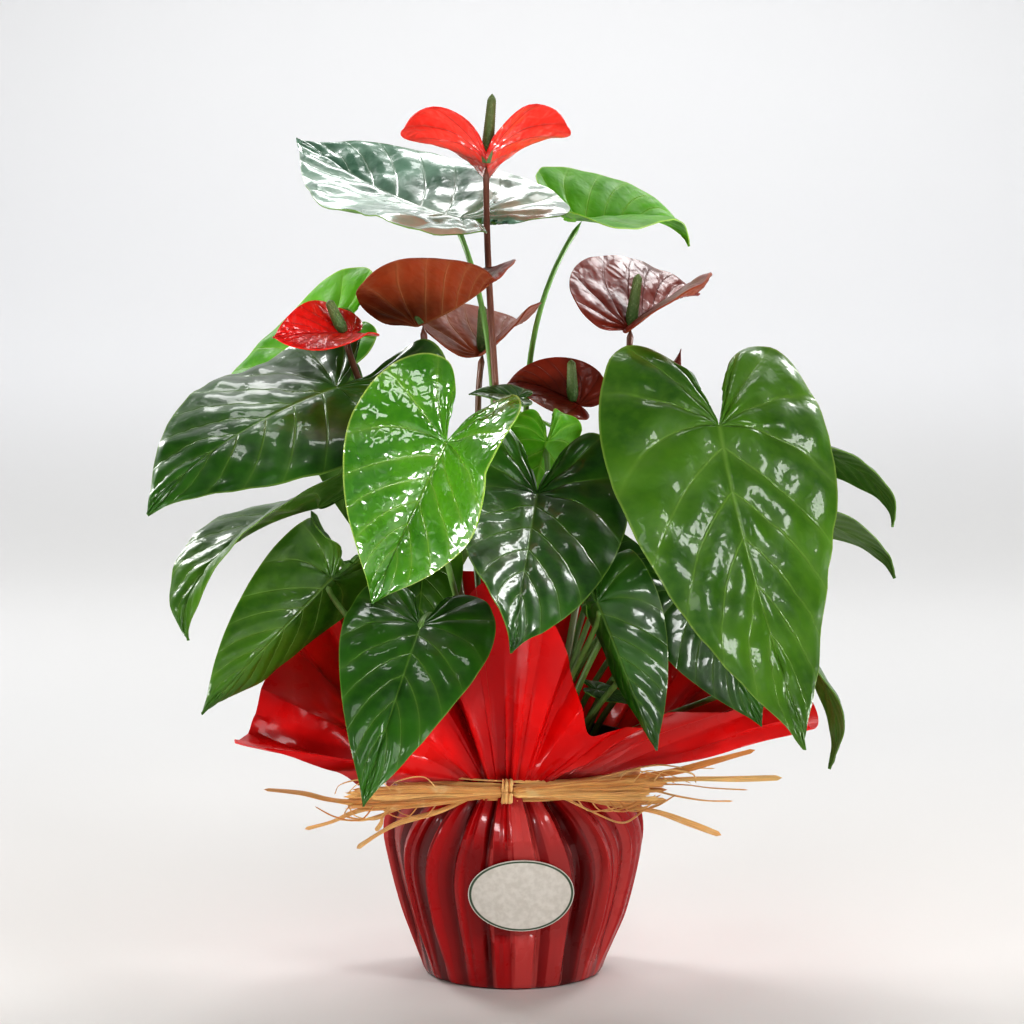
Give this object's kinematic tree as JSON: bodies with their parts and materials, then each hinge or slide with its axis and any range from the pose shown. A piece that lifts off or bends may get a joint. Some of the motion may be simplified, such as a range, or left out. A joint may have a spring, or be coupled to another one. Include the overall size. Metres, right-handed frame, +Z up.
{
  "type": "potted anthurium",
  "caption": "Potted anthurium with glossy heart-shaped leaves, red and brown-red spathes on tall stalks, in a red film wrap tied with raffia and carrying a blank oval card.",
  "frame": {"origin": "centre of the flat round foot of the wrap, on the surface it rests on", "axes": "+Z up, -Y towards the front with the blank card and the raffia knot, +X to the right seen from the front"},
  "size_m": [0.4143, 0.3754, 0.5049],
  "materials": {
    "leaf": "glossy dark green leaf with raised paler veins",
    "leaf_bright": "glossy mid green leaf, lit through",
    "spathe_red": "waxy bright red with ribs",
    "spathe_dark": "waxy dark brown-red with ribs",
    "spadix": "matt green, knobbly",
    "peduncle": "smooth green to brown stalk",
    "bud": "waxy brown-red roll on a green stalk",
    "pot": "thin black moulded plastic",
    "soil": "moist peat mix",
    "film": "glossy translucent red film, pleated",
    "raffia": "dry tan fibre strands",
    "sign": "off-white coated card with a green edge"
  },
  "bodies": {
    "root": {"bud": "bud", "leaf_back_left": "leaf", "leaf_back_low_left": "leaf", "leaf_back_low_right": "leaf", "leaf_back_middle": "leaf", "leaf_back_right": "leaf", "leaf_centre": "leaf", "leaf_centre_back": "leaf", "leaf_centre_curled": "leaf", "leaf_centre_small": "leaf_bright", "leaf_front_bright": "leaf_bright", "leaf_front_inner": "leaf", "leaf_front_low": "leaf", "leaf_left_drooping": "leaf", "leaf_left_inner": "leaf", "leaf_left_large": "leaf", "leaf_left_low": "leaf", "leaf_left_tall": "leaf_bright", "leaf_right_ground": "leaf", "leaf_right_hanging": "leaf", "leaf_right_inner": "leaf", "leaf_right_large": "leaf", "leaf_right_low": "leaf", "leaf_right_middle": "leaf", "leaf_right_under": "leaf", "leaf_right_upper": "leaf", "leaf_top_left": "leaf", "leaf_top_right": "leaf_bright", "peduncle_dark_centre": "peduncle", "peduncle_dark_left": "peduncle", "peduncle_dark_middle": "peduncle", "peduncle_dark_right": "peduncle", "peduncle_left": "peduncle", "peduncle_top": "peduncle", "pot": "pot", "raffia_band": "raffia", "raffia_knot": "raffia", "raffia_left": "raffia", "raffia_right": "raffia", "sign": "sign", "soil": "soil", "spadix_dark_centre": "spadix", "spadix_dark_left": "spadix", "spadix_dark_middle": "spadix", "spadix_dark_right": "spadix", "spadix_left": "spadix", "spadix_top": "spadix", "spathe_dark_centre": "spathe_dark", "spathe_dark_left": "spathe_dark", "spathe_dark_middle": "spathe_dark", "spathe_dark_right": "spathe_dark", "spathe_left": "spathe_red", "spathe_top": "spathe_red", "wrap_collar": "film", "wrap_skirt": "film"}
  },
  "joints": []
}
